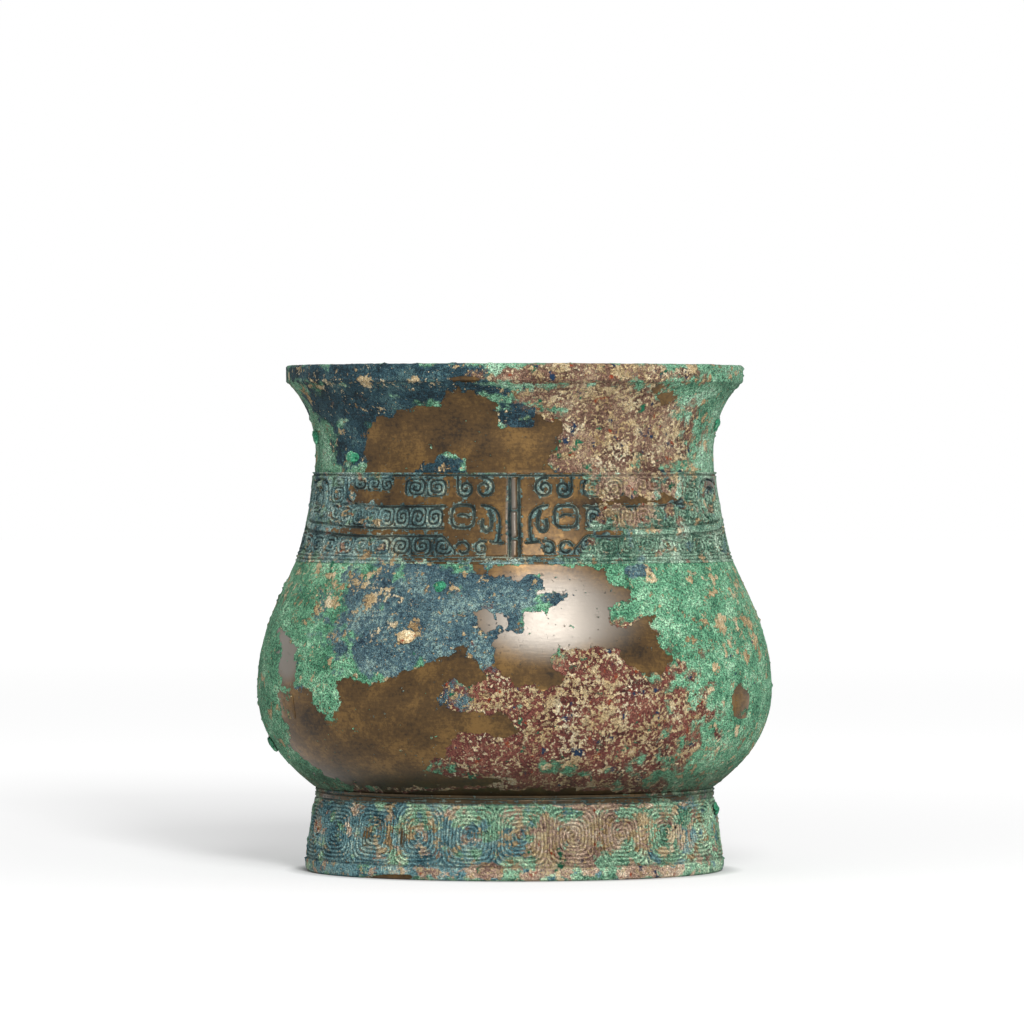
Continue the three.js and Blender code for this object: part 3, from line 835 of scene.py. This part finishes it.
# Round grooves: two horn scrolls, two claws, the end of the tail and the eye
for path, width in [
    (spiral_path((8.8, 114.0), 3.0, 75, 1.45, inner=0.25), 0.85),
    (spiral_path((14.6, 113.8), 2.5, -35, -1.25, inner=0.25), 0.8),
    (spiral_path((9.3, 96.6), 2.2, 120, -1.15, inner=0.25), 0.75),
    (spiral_path((14.4, 96.6), 2.1, 20, 0.85, inner=0.55), 0.8),
    (spiral_path((70.2, 110.1), 2.6, 60, 1.7, inner=0.2, flat=1.25), 0.6),
    (rounded_box((15.0, 105.8), 3.35, 3.15, 3.4), 0.9),
]:
    carve(path, width)

# The lines that border the band
for line_z, width, depth in ((117.6, 0.65, 0.5), (94.0, 0.45, 0.4), (92.9, 0.45, 0.4)):
    carve(np.array([(-sheet_margin, line_z), (side_way + sheet_margin, line_z)]), width, depth)

# Sunk ground, and the middles and half sizes of the thread spirals that fill it
grounds = [
    rounded_box((26.4, 114.1), 7.0, 2.75, 5)[:-1],
    [(37.2, 116.8), (53.4, 116.8), (53.2, 115.4), (51.6, 113.8), (48, 113.1), (38.4, 112.9), (37.0, 114.4)],
    [(20.6, 108.4), (38, 108.2), (48, 108.6), (53.4, 109.8), (55.0, 112.5), (55.0, 116.8), (62.4, 116.8),
     (62.4, 112), (62.2, 108), (63.4, 105.2), (66.4, 104.3), (60, 103.5), (45, 102.8), (20.8, 102.7)],
    rounded_box((70.2, 110.1), 3.6, 3.5, 3)[:-1],
    [(17.2, 94.6), (17.4, 96.0), (20.6, 99.4), (22, 99.7), (45, 99.6), (68, 100.5), (78.4, 101.8),
     (81.2, 104.2), (81.6, 110), (81.6, 116.8), (88, 116.8), (88, 94.6)],
]
spirals = (
    [(23.2, 114.1, 3.3, 2.9), (29.8, 114.1, 3.3, 2.9), (39.4, 114.9, 2.3, 2.1), (44.2, 115.0, 2.4, 2.0),
     (49.2, 115.3, 2.6, 1.8), (58.6, 106.9, 2.6, 2.9), (58.4, 112.0, 2.7, 2.4), (58.4, 115.6, 2.8, 1.6)]
    + [(23.4 + 5.1 * number, 105.5, 2.6, 3.1) for number in range(7)]
    + [(20.2 + 6.35 * number, 97.2, 3.2, 2.8) for number in range(11)]
    + [(side_way, 103.2 + 5.4 * number, 3.0, 3.0) for number in range(3)]
)
ground = np.clip(sum(inside_shape(corners) for corners in grounds), 0, 1)
nearest = np.full(sheet_q.shape, 9.0)
thread = np.zeros(sheet_q.shape)
for number, (middle_q, middle_z, half_q, half_z) in enumerate(spirals):
    q, z = (sheet_q - middle_q) / half_q, (sheet_z - middle_z) / half_z
    pitch = thread_pitch / min(half_q, half_z)
    wave, square = spiral_wave(q, z, 3.2, pitch, 1 if number % 2 else -1)
    thread = np.where(square < nearest, wave, thread)
    nearest = np.minimum(square, nearest)
threaded = ground * ground_depth * (0.85 * smooth_step(thread, -0.5, 0.6) - 1)
sheet = np.where(ground > 0.01, np.minimum(-sheet_groove, threaded), -sheet_groove)

# The flange: a thin rounded rib in a sunk channel, notched in two places
flange_half = 1.05
channel_half = 1.8
rib_height = 0.5
upright = smooth_step(sheet_z, 94.0, 94.3) * (1 - smooth_step(sheet_z, 116.9, 117.2))
channel = upright * (1 - smooth_step(np.abs(sheet_q), channel_half - 0.2, channel_half + 0.15))
rib = upright * np.sqrt(np.clip(1 - (sheet_q / flange_half)**2, 0, 1))
for notch_z in (107.6, 99.3):
    rib = rib * (1 - 0.7 * np.exp(-((sheet_z - notch_z) / 0.45)**2))
sheet = np.where(channel > 0, np.minimum(sheet, -0.75 * channel), sheet) + rib * (0.75 + rib_height)


def dragons(way, z, length):
    """The depth of the band's carving, read from the sheet and mirrored."""
    half_turn = length / 2
    from_flange = np.abs((way + half_turn / 2) % half_turn - half_turn / 2)
    column = np.clip((from_flange + sheet_margin) / sheet_step, 0, sheet.shape[1] - 1.001)
    row = np.clip((z - shoulder_z) / sheet_step, 0, sheet.shape[0] - 1.001)
    left, low = column.astype(int), row.astype(int)
    right, up = column - left, row - low
    below = sheet[low, left] * (1 - right) + sheet[low, left + 1] * right
    above = sheet[low + 1, left] * (1 - right) + sheet[low + 1, left + 1] * right
    return below * (1 - up) + above * up


neck_bend = bend((shoulder_half_width, shoulder_z), (neck_half_width, neck_z), (0.59, 0.3), (1, 0.69))
neck_inside = moved_in(neck_bend, wall)
band_heights = np.linspace(shoulder_z, band_top_z, 80)
band_base = np.interp(band_heights, neck_bend[:, 1], neck_bend[:, 0])
band_edge_width = band_base[-1] + band_proud_top
band_skin = np.concatenate([
    np.stack([band_base + np.linspace(band_proud_foot, band_proud_top, 80), band_heights], 1),
    [(band_edge_width - 0.3, band_top_z + 0.1)],
])
band_inside = neck_inside[neck_inside[:, 1] < band_top_z][::-1]
dragon_band = cast_zone(
    "dragon_band", [], band_skin, [band_inside], band_half_width, columns=1536, step=0.22, strips=3,
    carving=dragons, patches=band_patches, patches_back=band_patches_back, seed=37, warts=260)
dragon_band.data.materials.append(weathered_bronze("band_bronze", band_shades, 4.0, 5.0))

# The neck and mouth. The wall draws in over the band, flares out again and ends
# in an upright lip, thick and flat on top, cast with the rest.
lip_z = 144.6
lip_half_width = 67.9
lip_corner = 0.9
neck_patches = {
    "bare": [[(376, 417), (408, 411), (440, 408), (443, 392), (478, 392), (494, 401), (501, 430), (533, 414),
              (552, 420), (565, 430), (552, 452), (550, 478), (466, 478), (462, 458), (446, 454), (424, 462),
              (416, 478), (366, 478), (363, 436)],
             [(651, 388), (668, 389), (680, 398), (674, 408), (658, 404)],
             (466, 379, 17, 3)],
    "azurite": [(372, 374, 100, 13), (652, 376, 9, 5), (362, 402, 60, 26), (352, 440, 18, 28),
                (430, 390, 70, 12), (438, 466, 26, 10), (450, 374, 30, 12), (516, 417, 18, 17),
                (515, 474, 170, 5)],
    "cuprite": [(592, 374, 104, 12), (608, 432, 82, 56), (585, 398, 62, 18)],
    "earth": [(590, 370, 116, 12), (612, 425, 76, 54), (440, 382, 40, 6), (345, 385, 40, 8),
              (303, 372, 8, 6), (361, 382, 8, 5), (385, 383, 9, 5), (375, 410, 10, 7), (418, 408, 8, 5),
              (516, 416, 7, 7)],
}
neck_patches_back = {
    "bare": [(560, 430, 70, 26), (420, 452, 30, 12)],
    "azurite": [(640, 405, 60, 34), (400, 380, 80, 14)],
    "cuprite": [(400, 420, 70, 44)],
    "earth": [(410, 420, 60, 40)],
}
neck_shades = {
    "green": ((62, 112, 86), (114, 164, 132), (166, 202, 174)),
    "blue": ((22, 42, 50), (42, 70, 80), (76, 106, 108)),
    "red": ((82, 58, 48), (126, 96, 80), (170, 146, 120)),
}
flare = bend((neck_half_width, neck_z), (lip_half_width - lip_corner, lip_z), (0, 0.44), (0.44, 0.78))
corner_turn = np.linspace(0, np.pi / 2, 6)
lip_top = np.stack([
    lip_half_width - lip_corner * (1 - np.cos(corner_turn)),
    rim_z - lip_corner * (1 - np.sin(corner_turn)),
], 1)
neck_skin = np.concatenate([
    neck_bend[neck_bend[:, 1] > band_top_z - 0.4], flare[1:],
    [(lip_half_width - 0.2, lip_z + 0.3), (lip_half_width, lip_z + 0.9)], lip_top,
    [(lip_half_width - 1.8, rim_z)],
])
mouth_inside = np.concatenate([
    neck_inside[neck_inside[:, 1] > band_top_z], moved_in(flare, wall)[1:],
    [(lip_half_width - wall, rim_z - 1.6), (lip_half_width - wall + 0.6, rim_z - 0.2)],
])
mouth_and_neck = cast_zone(
    "mouth_and_neck", [], neck_skin, [mouth_inside[::-1]], half_width=62.0, columns=840, step=0.4, strips=3,
    carving=plain, patches=neck_patches, patches_back=neck_patches_back, seed=41, warts=420)
mouth_and_neck.data.materials.append(weathered_bronze("neck_bronze", neck_shades, 2.4, 5.0))

# The chaplets: twelve ready-made bronze plates that held the clay core off the
# mould. The wall was poured round them, so each is a plug through the wall, a
# little crowned outside, with worn edges, and shows both outside and inside.
chaplet_size = 8.0
chaplet_gap = 0.15
chaplet_crown = 0.16
chaplet_unevenness = 0.12
chaplet_dish = 0.1
chaplet_edge_wander = 0.05
chaplet_steps = 25
chaplet_shades = {
    "green": ((48, 84, 62), (84, 122, 92), (134, 158, 124)),
    "blue": ((26, 44, 54), (48, 76, 88), (92, 118, 118)),
    "red": ((72, 52, 40), (112, 86, 64), (160, 134, 104)),
}
chaplet_bronze = weathered_bronze("chaplet_bronze", chaplet_shades, 2.4, 5.0)
skin_path = np.concatenate([foot_skin[2:], belly_skin[1:], neck_bend[1:], flare[1:]])


def skin_at(z):
    """The skin's half width at a height, and how far it leans out there."""
    below, width, above = np.interp([z - 0.5, z, z + 0.5], skin_path[:, 1], skin_path[:, 0]).tolist()
    return width, above - below


def wall_frame(angle, z):
    """A place on the skin with the ways along, up and out of it there, all in mm."""
    half_width, lean = skin_at(z)
    half_depth = half_width - oval_stretch
    spot = Vector((half_width * math.sin(angle), -half_depth * math.cos(angle), z))
    out = Vector((math.sin(angle) / half_width, -math.cos(angle) / half_depth, 0)).normalized()
    along = Vector((-out.y, out.x, 0))
    up = (Vector((0, 0, 1)) + lean * out).normalized()
    return spot, along, up, along.cross(up)


def closed_grid(name, outer, inner, fields):
    """A closed plug between two square grids of points in mm, joined at their edges."""
    side = len(outer)
    index = np.arange(side * side).reshape(side, side)
    front = np.stack([index[:-1, :-1], index[:-1, 1:], index[1:, 1:], index[1:, :-1]], -1).reshape(-1, 4)
    back = front[:, ::-1] + side * side
    rim = np.concatenate([index[0, :-1], index[:-1, -1], index[-1, :0:-1], index[:0:-1, 0]])
    ahead = np.roll(rim, -1)
    edge = np.stack([ahead, rim, rim + side * side, ahead + side * side], -1)
    points = np.concatenate([outer.reshape(-1, 3), inner.reshape(-1, 3)])
    return quad_object(name, points, np.concatenate([front, back, edge]), sharp_degrees=50, fields=fields)


def chaplet(name, place_on, seed, bare, azurite):
    """One plate; place_on puts a way along, a way up and a depth onto the vessel."""
    steps = np.linspace(-1, 1, chaplet_steps)
    across, upward = np.meshgrid(steps, steps)
    corner = (np.abs(across)**8 + np.abs(upward)**8)**(1 / 8)
    square = np.maximum(np.abs(across), np.abs(upward))
    pull = np.where(corner > 0, square / np.maximum(corner, 1e-9), 1)
    half = chaplet_size / 2 - chaplet_gap
    grid = np.stack([across * pull * half, upward * pull * half, np.zeros(across.shape)], -1)
    uneven = lattice_noise(grid + seed, 1.6, seed) - 0.5
    wander = 1 + chaplet_edge_wander * (lattice_noise(grid * 0.4 + seed, 1.0, seed + 1) - 0.8) * square
    sideways, upright = grid[..., 0] * wander, grid[..., 1] * wander
    crown = chaplet_crown * (1 - square**4) + chaplet_unevenness * uneven - chaplet_unevenness / 2
    dish = -wall - chaplet_dish * (1 - square**4) - chaplet_dish * uneven
    outer = place_on(sideways, upright, crown)
    inner = place_on(sideways, upright, dish)
    fields = {"bare": bare, "azurite": azurite, "earth": 0.6, "cuprite": 0.2, "rubbed_highlight": 0.0, "hollow": 0.0,
              "beside": 0.1}
    piece = closed_grid(name, outer, inner, fields)
    piece.data.materials.append(chaplet_bronze)
    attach(piece, "root")
    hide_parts(name)


def through_wall(angle, z):
    """Puts a plug's points through the wall, following the skin round and up."""
    spot, along, up, out = wall_frame(angle, z)

    def place_on(sideways, upward, depth):
        heights = z + upward * up.z
        widths = np.interp(heights, skin_path[:, 1], skin_path[:, 0])
        middle = np.array(spot)[:2] + sideways[..., None] * np.array(along)[:2]
        stretch = np.hypot(middle[..., 0] / widths, middle[..., 1] / (widths - oval_stretch))
        on_skin = np.concatenate([middle / stretch[..., None], heights[..., None]], -1)
        return on_skin + depth[..., None] * np.array(out)
    return place_on


def through_floor(x, y):
    """Puts a plug's points through the floor, which lies level at its middle."""
    def place_on(sideways, upward, depth):
        at_x, at_y = x + sideways, y + upward
        width = oval_stretch + np.zeros(at_x.shape)
        for _ in range(40):
            width = np.hypot(at_x, at_y * width / np.maximum(width - oval_stretch, 0.2)) * 0.5 + width * 0.5
        top = np.interp(width, floor_top[::-1, 0], floor_top[::-1, 1])
        under = np.interp(width, floor_under[:, 0], floor_under[:, 1])
        z = np.where(depth > -wall / 2, top + depth, under + (depth + wall))
        return np.stack([at_x, at_y, z], -1)
    return place_on


neck_chaplet_z = 135.0
belly_chaplet_z = 50.0
neck_turn = math.asin(2 / neck_half_width)
belly_turn = math.radians(61)
for name, angle, z, seed, bare, azurite in [
    ("neck_chaplet_front", neck_turn, neck_chaplet_z, 3, 0.3, 0.8),
    ("neck_chaplet_back", math.pi + neck_turn, neck_chaplet_z, 5, 0.4, 0.1),
    ("neck_chaplet_left", -math.pi / 2, neck_chaplet_z, 7, 0.35, 0.6),
    ("neck_chaplet_right", math.pi / 2, neck_chaplet_z, 9, 0.45, 0.1),
    ("belly_chaplet_front_right", belly_turn, belly_chaplet_z, 11, 0.75, 0.1),
    ("belly_chaplet_front_left", -belly_turn, belly_chaplet_z, 13, 0.6, 0.2),
    ("belly_chaplet_back_right", math.pi - belly_turn, belly_chaplet_z, 15, 0.6, 0.3),
    ("belly_chaplet_back_left", math.pi + belly_turn, belly_chaplet_z, 17, 0.5, 0.5),
]:
    chaplet(name, through_wall(angle, z), seed, bare, azurite)
floor_chaplet_across = 24.0
floor_chaplet_deep = 17.0
for name, x, y, seed in [
    ("floor_chaplet_front", 0, -floor_chaplet_deep, 19),
    ("floor_chaplet_back", 0, floor_chaplet_deep, 21),
    ("floor_chaplet_left", -floor_chaplet_across, 0, 23),
    ("floor_chaplet_right", floor_chaplet_across, 0, 25),
]:
    chaplet(name, through_floor(x, y), seed, 0.45, 0.3)

# The mineral growths: seven lumps that stand on the skin, six of green copper
# carbonate and one of burial earth. Each is a cluster of knobs on a flat seat.
growth_shades = ((20, 88, 64), (60, 142, 106), (150, 198, 164))


def growth_finish(name, shades, crumb_colour):
    """A lump's finish: its mineral in three shades, with crumbs and pits."""
    material, tree = empty_nodes(bpy.data.materials, name)
    colour, height = crust(tree, shades, 0.7, 70.0).values()
    crumb_colour = paint(crumb_colour, crust_light)
    colour, height = crumbs(tree, colour, height, 0.2, 1.6, 72.0, crumb_colour, 0.4)
    colour, height = crumbs(tree, colour, height, 0.1, 1.0, 74.0, paint(dark_pit), -0.5)
    bump = put(tree, "Bump", {"Height": height, "Strength": 0.8, "Distance": 0.0003})
    shader = put(tree, "BsdfPrincipled", {
        "Base Color": colour,
        "Roughness": between(tree, height, 0.6, 1.6, 0.7, 0.92),
        "Specular IOR Level": 0.35,
        "Normal": bump.outputs["Normal"],
    })
    put(tree, "OutputMaterial", {"Surface": shader.outputs["BSDF"]})
    return material


malachite = growth_finish("malachite", growth_shades, (150, 176, 132))
burial_earth = growth_finish("burial_earth", earth_shades, (156, 84, 56))
growth_gap = 0.25
growth_core, knob_reach, bead_reach = 0.42, 0.6, 0.08
knob_size, small_knob_size, bead_size = 0.62, 0.3, 0.12
for name, angle, z, along_half, out_half, up_half, seed in [
    ("neck_malachite_lump", -53, 122.8, 2.6, 1.3, 2.0, 1),
    ("neck_left_crust", -80, 129.0, 3.0, 1.0, 2.4, 2),
    ("neck_right_crust", 82, 132.5, 3.0, 1.0, 2.2, 3),
    ("belly_malachite_lump", -18.5, 85.4, 2.0, 1.1, 1.7, 4),
    ("belly_left_crust", -84, 38.0, 3.4, 1.2, 2.8, 5),
    ("foot_right_crust", 82, 18.6, 2.8, 1.0, 2.0, 6),
    ("belly_earth_lump", -25, 71.0, 3.0, 0.9, 2.2, 7),
]:
    form = bmesh.new()
    bmesh.ops.create_icosphere(form, subdivisions=5, radius=1.0)
    ways = np.array([vertex.co for vertex in form.verts])
    knobs = lattice_noise(ways + 1.7, knob_size, seed * 3)
    knobs = knobs + 0.5 * lattice_noise(ways, small_knob_size, seed * 3 + 1)
    beads = lattice_noise(ways, bead_size, seed * 3 + 2)
    reach = growth_core + knob_reach * knobs / 1.1 + bead_reach * beads
    ways *= np.minimum(reach, 1.0)[:, None]
    heights = np.maximum(ways[:, 2], 0) * out_half + growth_gap
    heights += 0.2 * np.clip(ways[:, 2] + 0.25, 0, 0.25)
    places = through_wall(math.radians(angle), z)(ways[:, 0] * along_half, ways[:, 1] * up_half, heights)
    for vertex, place in zip(form.verts, places):
        vertex.co = Vector(place) * MM
    mesh = bpy.data.meshes.new(name)
    form.to_mesh(mesh)
    form.free()
    mesh.polygons.foreach_set("use_smooth", np.ones(len(mesh.polygons), bool))
    growth = bpy.data.objects.new(name, mesh)
    bpy.context.collection.objects.link(growth)
    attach(growth, "root")
    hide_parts(name)
    mineral_slot = "burial_earth" if name == "belly_earth_lump" else "malachite"
    growth.data.materials.append(burial_earth if mineral_slot == "burial_earth" else malachite)

# The table, lamps and camera of the photograph: a plain white table under a
# soft lamp high in front on the right, with a second one lower and farther off.
table_half = 6.0
bpy.ops.mesh.primitive_plane_add(size=2 * table_half, location=(0, 0, -0.0001))
table = bpy.context.object
table.name = "table"


def seen_share(tree):
    """1 to the camera, in a reflection and through glass, and 0 as a light."""
    rays = put(tree, "LightPath").outputs
    seen = maths(tree, "MAXIMUM", rays["Is Camera Ray"], rays["Is Glossy Ray"])
    return maths(tree, "MAXIMUM", seen, rays["Is Transmission Ray"])


# The table's white towards the camera rises with the distance from the foot,
# which is measured in half widths of the foot: it stays low for a few mm round
# the foot, a painted contact shade there, and grows farther off so that the
# floor stays white where the lamps' light falls off
table_white, tree = empty_nodes(bpy.data.materials, "table_white")
oval_scale = (1 / (foot_half_width * MM), 1 / ((foot_half_width - oval_stretch) * MM), 0)
place = put(tree, "TexCoord").outputs["Object"]
spot = put(tree, "VectorMath", {0: place, 1: oval_scale}, operation="MULTIPLY").outputs[0]
away = put(tree, "VectorMath", {0: spot}, operation="LENGTH").outputs["Value"]
# Close to the foot the glow stays low, which leaves a painted contact shade round it
beside = between(tree, away, 1.0, 1.12, 0.0, 0.32)
behind = between(tree, away, 1.0, 14.0, 0.0, 0.22)
far_off = between(tree, away, 14.0, 60.0, 0.0, 0.2)
risen = maths(tree, "ADD", beside, maths(tree, "ADD", behind, far_off))
glow = put(tree, "Emission", {"Color": white, "Strength": maths(tree, "MULTIPLY", seen_share(tree), risen)})
cloth = put(tree, "BsdfDiffuse", {"Color": (0.7, 0.7, 0.7, 1)})
both = put(tree, "AddShader", {0: glow.outputs[0], 1: cloth.outputs[0]})
put(tree, "OutputMaterial", {"Surface": both.outputs[0]})
table.data.materials.append(table_white)

# The room is white as a backdrop, and lights the vessel with less than half of it
room_light = 0.46
room, tree = empty_nodes(bpy.data.worlds, "room")
strength = between(tree, seen_share(tree), 0.0, 1.0, room_light, 1.0)
backdrop = put(tree, "Background", {"Color": white, "Strength": strength})
put(tree, "OutputWorld", {"Surface": backdrop.outputs[0]})
bpy.context.scene.world = room


def lamp(name, direction, distance, width, height, power):
    """A soft lamp that faces the middle of the vessel."""
    data = bpy.data.lights.new(name, "AREA")
    data.shape = "RECTANGLE"
    data.size, data.size_y = width, height
    data.energy = power
    source = bpy.data.objects.new(name, data)
    middle = Vector((0, 0, rim_z / 2 * MM))
    source.location = middle + Vector(direction).normalized() * distance
    source.rotation_euler = (middle - source.location).to_track_quat("-Z", "Y").to_euler()
    bpy.context.collection.objects.link(source)
    return source


lamp("soft_box", direction=(0.18, -0.77, 0.61), distance=1.3, width=0.5, height=0.46, power=9.0)
front_key = lamp(
    "front_key", direction=(0.3, -1.0, 0.42), distance=2.3, width=0.4, height=0.4, power=28.0)
front_key.visible_glossy = False

camera_data = bpy.data.cameras.new("camera")
camera_data.sensor_width = 36
camera_data.lens = 195.4
camera = bpy.data.objects.new("camera", camera_data)
camera.location = (0, -camera_distance * MM, horizon_z * MM)
look_at = Vector((-0.00074, 0, 0.1065))
camera.rotation_euler = (look_at - camera.location).to_track_quat("-Z", "Y").to_euler()
bpy.context.collection.objects.link(camera)
bpy.context.scene.camera = camera
bpy.context.scene.view_settings.view_transform = "Standard"
